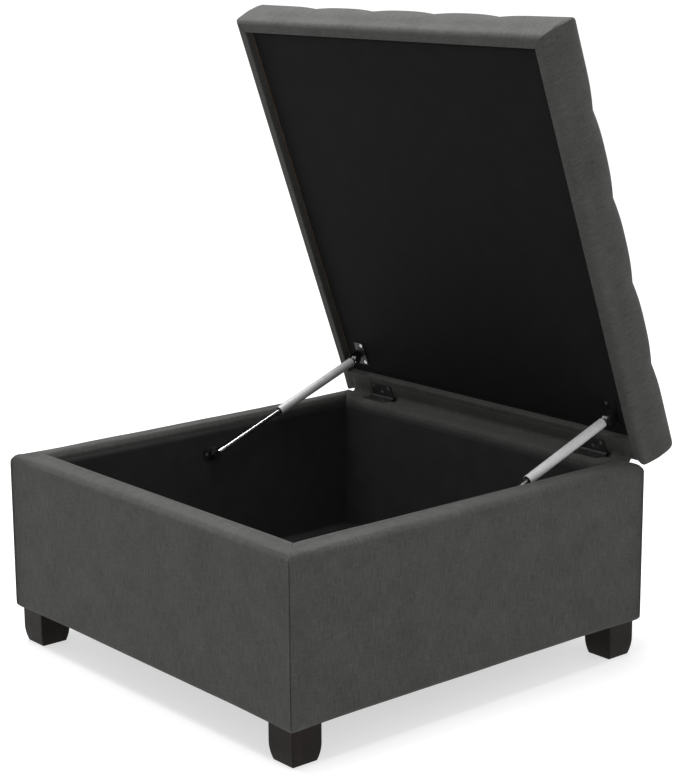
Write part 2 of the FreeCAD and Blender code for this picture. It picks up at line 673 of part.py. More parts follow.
# ---------------------------------------------------------------- assembly
def build():
    """Every node of the ottoman by name, in place, before the shift of the origin."""
    nodes, lid = {}, {}
    centres = foot_centres()
    bolts = [foot_bolt(centre) for centre in centres.values()]
    t_nuts = [foot_t_nut(centre) for centre in centres.values()]
    base_places, lid_places = [], []
    for _, sign in HANDS:
        base_places += hinge_screws(sign, upper=False) + wall_bracket_screws(sign)
        lid_places += hinge_screws(sign, upper=True) + lid_bracket_screws(sign)
    base_holes = [screw_hole(*place) for place in base_places]
    lid_holes = [screw_hole(*place) for place in lid_places]

    wall_cover = mitred(cover_section())
    for side in SIDES:
        nodes[f"side_panel_{side}"] = side_panel(side).cut(base_holes)
        nodes[f"top_rail_{side}"] = top_rail(side).cut(base_holes)
        nodes[f"base_cover_{side}"] = turned(wall_cover, side).cut(base_holes)
    nodes["bottom_board"] = bottom_board().cut(t_nuts + bolts)
    nodes["base_foam"] = base_foam().cut(base_holes)
    nodes["storage_lining"] = storage_lining().cut(base_holes)
    nodes["dust_cover"] = dust_cover().cut(bolts)
    for name, centre in centres.items():
        nodes[f"foot_{name}"] = foot(centre).cut(foot_bolt(centre))
    nodes["foot_bolts"] = Part.makeCompound(bolts)
    nodes["foot_t_nuts"] = Part.makeCompound(t_nuts)
    nodes["base_screws"] = Part.makeCompound([screw(*place) for place in base_places])
    nodes["hinge_pins"] = Part.makeCompound([hinge_pin(sign) for _, sign in HANDS])
    nodes["hinge_flap_lower"] = hinge_flap(upper=False)

    filling = lid_filling()
    for side in SIDES:
        lid[f"lid_rail_{side}"] = lid_rail(side, filling).cut(lid_holes)
    lid["lid_cover"] = lid_cover(filling).cut(lid_holes)
    lid["lid_board"] = lid_board(filling).cut(lid_holes)
    lid["lid_foam"] = lid_foam(filling)
    lid["lid_lining"] = lid_lining().cut(lid_holes)
    lid["tuft_buttons"] = tuft_buttons()
    lid["lid_screws"] = Part.makeCompound([screw(*place) for place in lid_places])
    lid["hinge_flap_upper"] = hinge_flap(upper=True)

    for hand, sign in HANDS:
        nodes[f"hinge_base_leaf_{hand}"] = hinge_leaf(sign, upper=False).cut(base_holes)
        lid[f"hinge_lid_leaf_{hand}"] = hinge_leaf(sign, upper=True).cut(lid_holes)
        nodes[f"wall_bracket_{hand}"] = wall_bracket(sign).cut(base_holes)
        lid[f"lid_bracket_{hand}"] = lid_bracket(sign).cut(lid_holes)
        nodes[f"strut_rod_socket_{hand}"] = rod_socket(sign)
        nodes[f"strut_rod_{hand}"] = strut_rod(sign)
        nodes[f"strut_piston_{hand}"] = strut_piston(sign)
        nodes[f"strut_tube_{hand}"] = strut_tube(sign)
        nodes[f"strut_gland_{hand}"] = strut_gland(sign)
        nodes[f"strut_tube_socket_{hand}"] = tube_socket(sign)
        nodes[f"lid_ball_stud_{hand}"] = lid_ball_stud(sign)
    nodes.update({name: opened(shape) for name, shape in lid.items()})
    return nodes


def save(nodes):
    os.makedirs("parts", exist_ok=True)
    for name, shape in nodes.items():
        placed = shape.copy()
        placed.translate(Vector(0, ORIGIN_SHIFT_Y, 0))
        placed.exportStep(f"parts/{name}.step")


save(build())
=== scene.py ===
import json
import math

import bpy
import numpy as np
from mathutils import Matrix, Vector, noise
from mathutils.geometry import tessellate_polygon


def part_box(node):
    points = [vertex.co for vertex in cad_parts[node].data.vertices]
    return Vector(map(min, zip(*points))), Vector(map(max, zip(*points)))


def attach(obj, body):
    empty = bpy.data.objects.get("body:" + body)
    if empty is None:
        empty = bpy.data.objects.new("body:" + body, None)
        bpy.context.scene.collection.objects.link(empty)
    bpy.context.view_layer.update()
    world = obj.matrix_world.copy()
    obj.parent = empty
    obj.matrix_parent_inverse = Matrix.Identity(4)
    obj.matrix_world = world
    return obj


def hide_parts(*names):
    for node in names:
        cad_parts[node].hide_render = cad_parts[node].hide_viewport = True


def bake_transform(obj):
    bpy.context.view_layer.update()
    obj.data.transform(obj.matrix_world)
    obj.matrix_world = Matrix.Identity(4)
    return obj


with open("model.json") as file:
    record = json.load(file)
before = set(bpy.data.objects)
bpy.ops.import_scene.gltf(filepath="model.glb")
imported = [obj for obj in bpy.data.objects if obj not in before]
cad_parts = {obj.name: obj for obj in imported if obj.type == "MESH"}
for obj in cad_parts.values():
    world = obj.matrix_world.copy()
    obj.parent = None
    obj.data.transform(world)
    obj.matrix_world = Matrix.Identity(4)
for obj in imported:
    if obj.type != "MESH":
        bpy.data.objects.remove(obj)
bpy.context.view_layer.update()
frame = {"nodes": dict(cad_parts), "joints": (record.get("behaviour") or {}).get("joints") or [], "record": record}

# Looks of a lift-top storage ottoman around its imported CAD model. Metres, +Z up, hinge side at +Y.
# The CAD stands open, as the photograph does. The lid's pieces are built shut, in the same frame as
# the box's, and then turned open about the hinge. The four sides of a piece are drawn as the front
# side, as (inset from the front face, height) sections, and then turned about the box's middle.

MM = 0.001
SIDES = ("front", "right", "back", "left")
WEAVE_SHIFT = 1.7       # between one side's place in the cloth and the next one's, in metres


# ---------------------------------------------------------------- sizes read from the frame
def union_box(names):
    """Lowest and highest corner round several CAD nodes."""
    boxes = [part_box(name) for name in names]
    low = Vector(min(b[0][i] for b in boxes) for i in range(3))
    high = Vector(max(b[1][i] for b in boxes) for i in range(3))
    return low, high


HINGE = next(joint for joint in frame["joints"] if joint["name"] == "lid_hinge")
HINGE_POINT = Vector(HINGE["pos_m"])
OPEN_ANGLE = math.radians(HINGE["range_deg"][1])
TO_OPEN = (Matrix.Translation(HINGE_POINT) @ Matrix.Rotation(-OPEN_ANGLE, 4, "X")
           @ Matrix.Translation(-HINGE_POINT))


def closed_box(node):
    """Box of a CAD node of the lid, with the lid turned shut."""
    back = TO_OPEN.inverted()
    points = np.array([back @ v.co for v in frame["nodes"][node].data.vertices])
    return Vector(points.min(0)), Vector(points.max(0))


BASE_LOW, BASE_HIGH = union_box([f"base_cover_{side}" for side in SIDES])
HALF = (BASE_HIGH.x - BASE_LOW.x) / 2
CENTRE_Y = (BASE_LOW.y + BASE_HIGH.y) / 2
UNDERSIDE_Z, RIM_Z = BASE_LOW.z, BASE_HIGH.z


def front_insets(node):
    """How far in from the box's front face a node of the front side starts and ends."""
    low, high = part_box(node)
    return low.y - BASE_LOW.y, high.y - BASE_LOW.y


WALL = front_insets("base_cover_front")[1]
RAIL_INSET = front_insets("top_rail_front")[0]
PANEL_INSET, LINING_INSET = front_insets("side_panel_front")
BOARD_Z, FLOOR_Z = (corner.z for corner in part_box("bottom_board"))
RAIL_Z, FRAME_TOP = (corner.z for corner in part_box("top_rail_front"))
FOLD_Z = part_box("storage_lining")[1].z
LINING_FLOOR_Z = FLOOR_Z + WALL - LINING_INSET
FABRIC = WALL - LINING_INSET
BOTTOM_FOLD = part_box("dust_cover")[0].y - BASE_LOW.y
FLAP_LOW, FLAP_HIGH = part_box("hinge_flap_lower")

LID_LOW, LID_HIGH = closed_box("lid_cover")
LID_Z, LID_TOP = LID_LOW.z, LID_HIGH.z
LID_LINING_LOW, LID_LINING_HIGH = closed_box("lid_lining")
LID_BORDER = LID_LINING_LOW.y - LID_LOW.y
LID_HINGE_BORDER = LID_HIGH.y - LID_LINING_HIGH.y
RECESS_TOP = LID_LINING_HIGH.z
LID_BOARD_TOP = closed_box("lid_board")[1].z


# ---------------------------------------------------------------- meshes
def rounded_path(corners, runs, arc_steps):
    """Points of straight runs joined by arcs, and their outward normals.

    corners are (inset, z, radius); runs and arc_steps say how many segments each run and arc has."""
    points, normals = [], []
    ends = [np.array(c[:2]) for c in corners]
    arcs = {}
    for i in range(1, len(corners) - 1):
        before = (ends[i - 1] - ends[i]) / np.linalg.norm(ends[i - 1] - ends[i])
        after = (ends[i + 1] - ends[i]) / np.linalg.norm(ends[i + 1] - ends[i])
        half_angle = math.acos(np.clip(before @ after, -1, 1)) / 2
        radius = corners[i][2]
        reach = radius / math.tan(half_angle)
        middle = (before + after) / np.linalg.norm(before + after)
        centre = ends[i] + middle * radius / math.sin(half_angle)
        arcs[i] = (ends[i] + before * reach, ends[i] + after * reach, centre)
    for i in range(len(corners) - 1):
        start = arcs[i][1] if i in arcs else ends[i]
        end = arcs[i + 1][0] if i + 1 in arcs else ends[i + 1]
        along = (end - start) / np.linalg.norm(end - start)
        normal = np.array([-along[1], along[0]])
        for k in range(runs[i] + 1):
            points.append(start + (end - start) * k / runs[i])
            normals.append(normal)
        if i + 1 in arcs:
            _, last, centre = arcs[i + 1]
            a, b = end - centre, last - centre
            turn = math.atan2(a[0] * b[1] - a[1] * b[0], a @ b)
            side = math.copysign(1, normal @ a)
            for k in range(1, arc_steps[i]):
                c, s = math.cos(turn * k / arc_steps[i]), math.sin(turn * k / arc_steps[i])
                spoke = np.array([a[0] * c - a[1] * s, a[0] * s + a[1] * c])
                points.append(centre + spoke)
                normals.append(side * spoke / np.linalg.norm(spoke))
    return np.array(points), np.array(normals)


def lengths_along(points):
    """Length of the path from its first point to each point."""
    steps = np.linalg.norm(np.diff(points, axis=0), axis=1)
    return np.concatenate([[0], np.cumsum(steps)])


def spread(lines, reach, full, fixed, end):
    """Columns drawn for a row of half length full, moved to a row of half length reach.

    They keep their distance from the ends within end, and stay where they are within fixed."""
    a = np.abs(lines)
    middle = fixed + (a - fixed) * (reach - end - fixed) / (full - end - fixed)
    x = np.where(a <= fixed, a, np.where(a >= full - end - 1e-9, reach - (full - a), middle))
    return np.sign(lines) * x


def new_object(name, points, faces, weave=None):
    """Smooth-shaded object. weave is each point's place in the cloth, read by the fabric materials."""
    mesh = bpy.data.meshes.new(name)
    mesh.from_pydata([tuple(p) for p in points], [], faces)
    mesh.polygons.foreach_set("use_smooth", [True] * len(mesh.polygons))
    if weave is not None:
        layer = mesh.attributes.new("weave", "FLOAT_VECTOR", "POINT")
        layer.data.foreach_set("vector", np.asarray(weave, np.float32).ravel())
    mesh.update()
    piece = bpy.data.objects.new(name, mesh)
    bpy.context.scene.collection.objects.link(piece)
    return piece


def grid_faces(rows, columns, closed=False):
    """Quads of a grid whose vertices run along the rows; closed joins the last row to the first."""
    faces = []
    for i in range(rows if closed else rows - 1):
        for j in range(columns - 1):
            a = i * columns + j
            b = (i + 1) % rows * columns + j
            faces.append((a, a + 1, b + 1, b))
    return faces


def ring_faces(rings, around):
    """Quads between closed rings of the same number of points."""
    faces = []
    for k in range(rings - 1):
        for j in range(around):
            a = k * around + j
            b = k * around + (j + 1) % around
            faces.append((a, b, b + around, a + around))
    return faces


def square_index(count, boundary, first):
    """Index of every point of a square grid whose border is a ring of points already made."""
    index = np.zeros((count, count), int)
    for i in range(count - 1):
        index[0, i] = boundary + i
        index[i, count - 1] = boundary + (count - 1) + i
        index[count - 1, count - 1 - i] = boundary + 2 * (count - 1) + i
        index[count - 1 - i, 0] = boundary + 3 * (count - 1) + i
    index[1:-1, 1:-1] = first + np.arange((count - 2) ** 2).reshape(count - 2, count - 2)
    return index


def square_points(lines, height, shift):
    """Inner points of such a grid, with their place in the weave shifted along it."""
    y, x = np.meshgrid(lines[1:-1], lines[1:-1], indexing="ij")
    z = height(x, y) + np.zeros_like(x)
    points = np.stack([x, y + CENTRE_Y, z], -1).reshape(-1, 3)
    weave = np.stack([x, y + shift, np.zeros_like(x)], -1).reshape(-1, 3)
    return points, weave


def square_faces(index):
    """Quads of such a grid."""
    rows, columns = index.shape
    return [(index[i, j], index[i, j + 1], index[i + 1, j + 1], index[i + 1, j])
            for i in range(rows - 1) for j in range(columns - 1)]


def woven(x, arc, side):
    """Place in the weave of points at x of a side, arc along its section. No two sides repeat."""
    return np.stack(np.broadcast_arrays(x + WEAVE_SHIFT * SIDES.index(side), arc, 0.0), -1)


def points_of(mesh):
    """Vertex places of a mesh as an array."""
    flat = np.zeros(len(mesh.vertices) * 3, np.float32)
    mesh.vertices.foreach_get("co", flat)
    return flat.reshape(-1, 3).astype(float)


def move_points(piece, points):
    piece.data.vertices.foreach_set("co", points.astype(np.float32).ravel())
    piece.data.update()


def turned(points, side):
    """Front-side points turned about the box's middle to another side."""
    angle = math.pi / 2 * SIDES.index(side)
    c, s = math.cos(angle), math.sin(angle)
    x, y = points[..., 0], points[..., 1] - CENTRE_Y
    return np.stack([x * c - y * s, x * s + y * c + CENTRE_Y, points[..., 2]], -1)


def opened(piece):
    """Turns a piece of the lid, built shut, to where the open lid is."""
    piece.data.transform(TO_OPEN)
    piece.data.update()
    return piece


def subdivided(piece):
    """Rounds a piece off with one step of subdivision."""
    smooth = piece.modifiers.new("Smooth", "SUBSURF")
    smooth.levels = 1
    smooth.render_levels = 1
    return piece


def thickened(piece, thickness):
    """Gives a sheet its thickness, behind the face that was drawn."""
    cloth = piece.modifiers.new("Thickness", "SOLIDIFY")
    cloth.thickness = thickness
    cloth.offset = -1
    return piece


def ripple(points, size, seed):
    """Smooth noise from -1 to 1 at each point, with waves of about that size."""
    offset = Vector((seed * 7.3, seed * 3.1, seed * 5.7))
    return np.array([noise.noise(Vector(p) / size + offset) for p in points])


def inflated(piece, held, cap, pressure):
    """Blows a closed piece up as cloth. held are the vertices that stay, cap is the furthest move."""
    frames = 20
    scene = bpy.context.scene
    rest = points_of(piece.data)
    group = piece.vertex_groups.new(name="held")
    group.add([int(i) for i in held], 1.0, "REPLACE")
    cloth = piece.modifiers.new("Cloth", "CLOTH")
    cloth.settings.quality = 5
    cloth.settings.mass = 0.3
    cloth.settings.use_pressure = True
    cloth.settings.uniform_pressure_force = pressure
    cloth.settings.vertex_group_mass = group.name
    cloth.settings.effector_weights.gravity = 0
    cloth.point_cache.frame_end = frames
    for number in range(1, frames + 1):
        scene.frame_set(number)
    shape = piece.evaluated_get(bpy.context.evaluated_depsgraph_get())
    move = points_of(shape.data) - rest
    scene.frame_set(1)
    piece.modifiers.remove(cloth)
    piece.vertex_groups.remove(group)
    length = np.linalg.norm(move, axis=1, keepdims=True) + 1e-9
    move_points(piece, rest + move / length * cap * np.tanh(length / cap))
    return piece


# ---------------------------------------------------------------- materials
class Nodes:
    """A material's node tree, with short calls for the nodes used here."""

    def __init__(self, name):
        self.material = bpy.data.materials.new(name)
        self.material.use_nodes = True
        self.tree = self.material.node_tree
        self.shader = self.tree.nodes["Principled BSDF"]

    def add(self, kind, inputs=(), **settings):
        node = self.tree.nodes.new("ShaderNode" + kind)
        for key, value in settings.items():
            setattr(node, key, value)
        for key, value in dict(inputs).items():
            self.put(value, node.inputs[key])
        return node

    def put(self, value, socket):
        """Links an output to a socket, or sets the socket to a constant."""
        if isinstance(value, bpy.types.NodeSocket):
            self.tree.links.new(value, socket)
        else:
            socket.default_value = value

    def math(self, operation, *values):
        node = self.add("Math", operation=operation)
        for i, value in enumerate(values):
            self.put(value, node.inputs[i])
        return node.outputs[0]

    def noise(self, vector, scale, detail=2.0, roughness=0.5, distortion=0.0):
        node = self.add("TexNoise", {"Vector": vector, "Scale": scale, "Detail": detail,
                                     "Roughness": roughness, "Distortion": distortion})
        return node.outputs["Fac"]

    def stretched(self, vector, scale):
        node = self.add("Mapping", {"Vector": vector, "Scale": scale})
        return node.outputs["Vector"]

    def ramp(self, value, *stops):
        """Colour between stops, each a (position, colour) pair."""
        node = self.add("ValToRGB", {"Fac": value})
        elements = node.color_ramp.elements
        while len(elements) < len(stops):
            elements.new(0.5)
        for element, (position, colour) in zip(elements, stops):
            element.position = position
            element.color = (*colour, 1)
        return node.outputs["Color"]

    def remap(self, value, low, high, to_low, to_high):
        """Moves the range from low to high onto another, clamped at its ends."""
        node = self.add("MapRange", {"Value": value, "From Min": low, "From Max": high,
                                     "To Min": to_low, "To Max": to_high})
        return node.outputs["Result"]

    def bump(self, height, distance, strength):
        node = self.add("Bump", {"Height": height, "Distance": distance, "Strength": strength})
        self.put(node.outputs["Normal"], self.shader.inputs["Normal"])


def shade(nodes, values):
    """Sets the shader's sockets, given by their own names."""
    for key, value in values.items():
        nodes.put((*value, 1) if isinstance(value, tuple) else value, nodes.shader.inputs[key])
    return nodes.material


def woven_fabric(name, dark, light):
    """Linen-look cloth: a plain weave with slubs that run mostly along the warp."""
    pitch = 0.8 * MM
    nodes = Nodes(name)
    place = nodes.add("Attribute", attribute_name="weave").outputs["Vector"]
    axes = nodes.add("SeparateXYZ", {"Vector": place})
    waves = [nodes.math("SINE", nodes.math("MULTIPLY", axes.outputs[k], 2 * math.pi / pitch))
             for k in "XY"]
    weave = nodes.math("MULTIPLY", *waves)
    warp = nodes.noise(nodes.stretched(place, (600, 34, 1)), 1.0, 3.0, 0.65)
    fine_warp = nodes.noise(nodes.stretched(place, (1300, 150, 1)), 1.0, 2.0)
    weft = nodes.noise(nodes.stretched(place, (45, 650, 1)), 1.0, 2.0, 0.6)
    patches = nodes.noise(place, 14.0, 3.0)
    tone = nodes.math("ADD", nodes.math("MULTIPLY", warp, 0.42), nodes.math("MULTIPLY", fine_warp, 0.20))
    tone = nodes.math("ADD", tone, nodes.math("MULTIPLY", weft, 0.24))
    tone = nodes.math("ADD", tone, nodes.math("MULTIPLY", patches, 0.14))
    tone = nodes.math("ADD", tone, nodes.math("MULTIPLY", weave, 0.035))
    colour = nodes.ramp(tone, (0.33, dark), (0.67, light))
    height = nodes.math("ADD", nodes.math("MULTIPLY", weave, 0.3), tone)
    nodes.bump(height, 0.35 * MM, 0.55)
    return shade(nodes, {
        "Base Color": colour,
        "Roughness": nodes.remap(tone, 0.3, 0.7, 0.96, 0.82),
        "Specular IOR Level": 0.15,
        "Sheen Weight": 0.07,
        "Sheen Roughness": 0.45,
        "Sheen Tint": (0.8, 0.8, 0.8),
    })


def black_nonwoven(name, dark, light):
    """Thin black felt-like lining with a fine fibrous face and a spunbond dimple pattern."""
    nodes = Nodes(name)
    place = nodes.add("Attribute", attribute_name="weave").outputs["Vector"]
    fibres = nodes.noise(place, 900.0, 4.0, 0.7, 1.5)
    clouds = nodes.noise(place, 22.0, 3.0)
    dimples = nodes.add("TexVoronoi", {"Vector": place, "Scale": 420.0}).outputs["Distance"]
    tone = nodes.math("ADD", nodes.math("MULTIPLY", fibres, 0.6), nodes.math("MULTIPLY", clouds, 0.4))
    nodes.bump(nodes.math("ADD", fibres, nodes.math("MULTIPLY", dimples, 0.6)), 0.15 * MM, 0.5)
    return shade(nodes, {
        "Base Color": nodes.ramp(tone, (0.3, dark), (0.7, light)),
        "Roughness": nodes.remap(fibres, 0.3, 0.7, 0.95, 0.8),
        "Specular IOR Level": 0.1,
        "Sheen Weight": 0.02,
        "Sheen Roughness": 0.5,
    })


def wood(name, dark, light, grain_scale, roughness, specular=0.3):
    """Straight-grained wood: growth rings drawn out where grain_scale is small, with fine pores."""
    nodes = Nodes(name)
    place = nodes.add("TexCoord").outputs["Object"]
    rings = nodes.noise(nodes.stretched(place, grain_scale), 1.0, 4.0, 0.6, 0.8)
    pores = nodes.noise(nodes.stretched(place, tuple(8 * s for s in grain_scale)), 1.0, 2.0, 0.6)
    tone = nodes.math("ADD", nodes.math("MULTIPLY", rings, 0.7), nodes.math("MULTIPLY", pores, 0.3))
    nodes.bump(tone, 0.12 * MM, 0.5)
    return shade(nodes, {
        "Base Color": nodes.ramp(tone, (0.32, dark), (0.68, light)),
        "Roughness": nodes.remap(pores, 0.3, 0.7, roughness + 0.08, roughness - 0.08),
        "Specular IOR Level": specular,
    })


def plated_metal(name, dark, light, roughness):
    """Metal with fine polishing marks and faint cloudy stains."""
    nodes = Nodes(name)
    place = nodes.add("TexCoord").outputs["Object"]
    marks = nodes.noise(place, 400.0, 3.0, 0.6)
    stains = nodes.noise(place, 60.0, 3.0)
    nodes.bump(marks, 0.02 * MM, 0.35)
    return shade(nodes, {
        "Base Color": nodes.ramp(stains, (0.35, dark), (0.65, light)),
        "Metallic": 1.0,
        "Roughness": nodes.remap(marks, 0.3, 0.7, roughness * 0.7, roughness * 1.3),
    })


def painted_metal(name, dark, light, roughness, metallic=0.0):
    """Sprayed paint: slight orange peel, tiny specks and duller scuffed patches."""
    nodes = Nodes(name)
    place = nodes.add("TexCoord").outputs["Object"]
    peel = nodes.noise(place, 700.0, 2.0)
    scuffs = nodes.noise(place, 45.0, 4.0, 0.7, 0.6)
    tone = nodes.math("ADD", nodes.math("MULTIPLY", peel, 0.35), nodes.math("MULTIPLY", scuffs, 0.65))
    nodes.bump(peel, 0.03 * MM, 0.5)
    return shade(nodes, {
        "Base Color": nodes.ramp(tone, (0.35, dark), (0.65, light)),
        "Metallic": metallic,
        "Roughness": nodes.remap(scuffs, 0.35, 0.65, roughness, roughness + 0.15),
    })


def moulded_plastic(name, dark, light):
    """Moulded plastic with a fine spark-eroded grain and faint flow marks."""
    nodes = Nodes(name)
    place = nodes.add("TexCoord").outputs["Object"]
    grain = nodes.noise(place, 1500.0, 2.0)
    flow = nodes.noise(place, 80.0, 3.0)
    nodes.bump(grain, 0.03 * MM, 0.5)
    return shade(nodes, {
        "Base Color": nodes.ramp(flow, (0.35, dark), (0.65, light)),
        "Roughness": nodes.remap(grain, 0.3, 0.7, 0.5, 0.62),
    })


def grey(level):
    """A neutral colour."""
    return (level, level, level)


def make_materials():
    """Every material, by the record's slot or by the name of a look that takes a slot's place."""
    grain_up, grain_across, end_grain = (90.0, 90.0, 7.0), (7.0, 60.0, 60.0), (9.0, 9.0, 9.0)
    espresso = (0.003, 0.002, 0.0015), (0.010, 0.006, 0.004)
    return {
        "upholstery": woven_fabric("charcoal_linen", (0.023, 0.023, 0.0219), (0.073, 0.073, 0.0695)),
        # One black cloth in two copies, painted lighter and darker. black_lining, under the lid and under the box,
        # is painted darker as shade against the front light it catches. The box's copy below is painted lighter as
        # light against the shade inside the box.
        "black_lining": black_nonwoven("black_lining", grey(0.003), grey(0.007)),
        "box_lining_painted_light": black_nonwoven("box_lining_painted_light", grey(0.014), grey(0.026)),
        "plywood": wood("plywood", (0.38, 0.24, 0.12), (0.55, 0.38, 0.21), end_grain, 0.6),
        "softwood": wood("softwood", (0.48, 0.31, 0.15), (0.68, 0.49, 0.28), grain_across, 0.6),
        "foot_wood": wood("espresso_wood", *espresso, grain_up, 0.5, specular=0.12),
        "hinge_black": painted_metal("hinge_black", grey(0.008), (0.022, 0.021, 0.02), 0.3),
        "zinc_steel": plated_metal("zinc_steel", (0.48, 0.47, 0.45), (0.68, 0.67, 0.64), 0.28),
        # The brackets' chrome is painted near black: painted shade that keeps their flat plates from showing the
        # bright floor and lights that chrome would reflect.
        "bracket_chrome_painted_dark": plated_metal("bracket_chrome_painted_dark", grey(0.03), grey(0.06), 0.5),
        "chrome": plated_metal("chrome", grey(0.28), grey(0.4), 0.2),
        "strut_grey": painted_metal("strut_grey", grey(0.38), grey(0.46), 0.32, metallic=0.1),
        "black_plastic": moulded_plastic("black_plastic", grey(0.01), grey(0.022)),
    }


def dressed(piece, slot, materials, look=None):
    """Gives a piece the look of its slot, or another look."""
    piece.data.materials.clear()
    piece.data.materials.append(materials[look or slot])
    return piece


# ---------------------------------------------------------------- padded walls of the box
SEAM_RADIUS = 1.6 * MM
WALL_FULLNESS = 1.6 * MM    # how far the padding stands out beyond the frame's nominal faces
RIM_FULLNESS = 3.0 * MM     # the same on the rim, less towards the hinges
MITRE_OVERLAP = 0.3 * MM    # keeps the inner rim corners shut
END_STEPS = [0, 0.8 * MM, 1.8 * MM, 3.2 * MM, 5.5 * MM, 9 * MM, 14 * MM, 20 * MM]


def seam_dip(distance):
    """How far cloth rolls in at that distance from a sewn seam."""
    gap = np.clip(SEAM_RADIUS - distance, 0, None)
    return SEAM_RADIUS - np.sqrt(SEAM_RADIUS ** 2 - gap ** 2)


def wall_columns(half):
    """Places along a wall of that half length, close together at its ends."""
    middle = half - END_STEPS[-1]
    inner = np.linspace(-middle, middle, round(2 * middle / (9 * MM)) + 1)
    ends = half - np.array(END_STEPS[:-1])
    return np.concatenate([-ends, inner, ends[::-1]])


def wall_rows():
    """Section of a padded wall: the cloth's outside, then the foam's inside, round panel and rail."""
    outside, normals = rounded_path([
        (BOTTOM_FOLD, UNDERSIDE_Z, 0),
        (0, UNDERSIDE_Z, 6 * MM),
        (0, RIM_Z, 14 * MM),
        (WALL, RIM_Z, 9 * MM),
        (WALL, FOLD_Z, 0),
    ], [3, 32, 4, 3], [4, 7, 5])
    gap = 0.4 * MM
    inside = np.array([
        (LINING_INSET, FOLD_Z),
        (LINING_INSET, FRAME_TOP + gap),
        (RAIL_INSET - gap, FRAME_TOP + gap),
        (RAIL_INSET - gap, RAIL_Z - gap),
        (PANEL_INSET - gap, RAIL_Z - gap),
        (PANEL_INSET - gap, FLOOR_Z + gap),
        (RAIL_INSET - gap, FLOOR_Z + gap),
        (RAIL_INSET - gap, BOARD_Z),
        (BOTTOM_FOLD, BOARD_Z),
    ])
    return outside, normals, inside


def wall_swell(outside, normals, held_in):
    """How far each outside row moves out: fully between its folds, not at all where it is held."""
    swell = WALL_FULLNESS * np.clip(lengths_along(outside) / (30 * MM), 0, 1)
    swell *= np.clip(lengths_along(outside[::-1])[::-1] / (15 * MM), 0, 1)
    swell[held_in] = 0
    return normals * swell[:, None]


def rim_rise(side, columns):
    """How far the rim is padded up along a wall: less at the hinges, and flat under the hinge flap."""
    from_hinge = {"front": HALF, "right": HALF - columns, "back": 0, "left": HALF + columns}[side]
    beyond_flap = 1
    if side == "back":
        beyond_flap = np.clip((np.abs(columns) - FLAP_HIGH.x - 4 * MM) / (10 * MM), 0, 1)
    return RIM_FULLNESS * beyond_flap * (0.7 + 0.3 * np.clip(from_hinge / (60 * MM), 0, 1))


def wall_waves(side, points, arc, from_end, inner, near_rim, seed):
    """Soft unevenness of the padding, fading out at the folds, the mitres and under the flap."""
    flat = points.reshape(-1, 3)
    waves = ripple(flat, 0.11, seed) * 0.9 * MM + ripple(flat, 0.035, seed + 9) * 0.3 * MM
    waves = waves.reshape(points.shape[:2])
    from_fold = np.clip(arc / (30 * MM), 0, 1)[:, None]
    waves *= from_fold * np.clip(from_end / (25 * MM), 0, 1)[None, :] * ~inner[:, None]
    if side == "back":
        waves *= (1 - 0.8 * near_rim)[:, None]
    return waves


def wall_faces(section, columns):
    """Faces of a closed prism of that section, one row of points to each of its corners."""
    faces = [face[::-1] for face in grid_faces(len(section), columns, closed=True)]
    outline = [Vector((0, inset, z)) for inset, z in section]
    for triangle in tessellate_polygon([outline]):
        left = [i * columns for i in triangle]
        right = [i * columns + columns - 1 for i in triangle]
        faces += [left, right[::-1]]
    return faces


def wall_cover(side, seed):
    """One padded side: closed, mitred at both ends, swollen a little between its seams."""
    outside, normals, inside = wall_rows()
    rows = len(outside)
    flat_rim = normals[:, 1] > 0.7
    inner = normals[:, 0] > 0.3
    section = np.concatenate([outside + wall_swell(outside, normals, flat_rim | inner), inside])
    columns = wall_columns(HALF)
    count = len(columns)
    points = np.zeros((len(section), count, 3))
    for i, (inset, z) in enumerate(section):
        x = spread(columns, HALF - inset + MITRE_OVERLAP, HALF, 0, END_STEPS[-1])
        points[i] = np.stack([x, np.full(count, CENTRE_Y - HALF + inset), np.full(count, z)], 1)
    points[:rows][flat_rim, :, 2] += rim_rise(side, columns)
    arc = lengths_along(section)
    from_end = HALF - np.abs(columns)
    waves = wall_waves(side, points[:rows], arc[:rows], from_end, inner,
                       outside[:, 1] > RIM_Z - 1 * MM, seed)
    push = waves - seam_dip(from_end)[None, :]
    away = np.pad(normals, ((0, 0), (1, 0)))
    points[:rows] += away[:, None, :] * push[..., None]
    weave = woven(points[..., 0], arc[:, None], side)
    piece = new_object(f"wall_cover_{side}", turned(points, side).reshape(-1, 3),
                       wall_faces(section, count), weave.reshape(-1, 3))
    held = np.ones((len(section), count), bool)
    held[4:rows - 3, 1:-1] = False
    held[:rows][inner] = True
    if side == "back":
        held[:rows][outside[:, 1] > RIM_Z - 4 * MM] = True
    inflated(piece, np.flatnonzero(held), 3.5 * MM, pressure=3.0)
    return subdivided(piece)


# ---------------------------------------------------------------- lid cushion
TUFT_PITCH = 2 * HALF / 5
CHANNELS = [TUFT_PITCH * k for k in (-1.5, -0.5, 0.5, 1.5)]
TUFT_DEPTH = 16 * MM        # of the buttons, below the lid's nominal top
CHANNEL_DEPTH = 9 * MM      # of the sewn channels, below the swollen top
CROWN = 10 * MM             # how far the padding of the lid swells above its nominal top
LID_FIXED = 300 * MM        # the tufting keeps its place within this distance of the middle
LID_EDGE = 28 * MM          # radius of the lid's top edges
SOFT_EDGE = 9 * MM          # radius of its lower edges
HINGE_EDGE = 12 * MM        # the same on the hinge side, where the flap folds
CRISP_EDGE = 4 * MM         # the same at the back corners
SIDE_BULGE = 4 * MM         # how far the lid's sides swell at half height
LOWER_FULLNESS = 1.5 * MM   # how far the padding stands out at its lower edges


